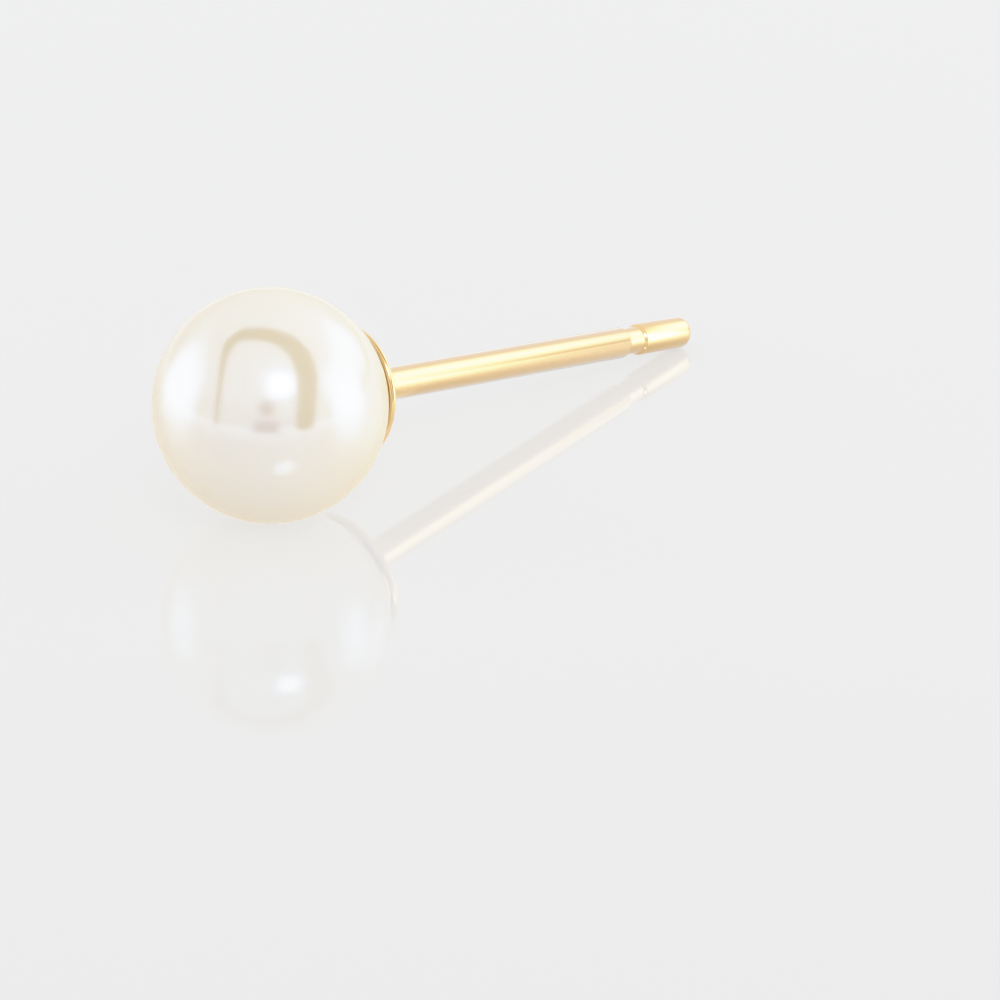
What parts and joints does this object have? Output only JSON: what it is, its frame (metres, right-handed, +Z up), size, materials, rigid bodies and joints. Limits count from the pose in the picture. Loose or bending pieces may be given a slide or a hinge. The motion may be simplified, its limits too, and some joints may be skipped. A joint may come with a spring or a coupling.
{
  "type": "pearl earring",
  "caption": "Pearl stud earring lying at rest: a round white pearl glued to a gold cup with a straight friction post.",
  "frame": {"origin": "on the surface that the stud lies on, under the middle of its box", "axes": "+Z up, +X along the ground from the pearl towards the post's tip"},
  "size_m": [0.0176, 0.0054, 0.0055],
  "materials": {
    "pearl": "gloss",
    "gold": "polished"
  },
  "bodies": {
    "root": {"pearl": "pearl", "cup_post": "gold"}
  },
  "joints": []
}
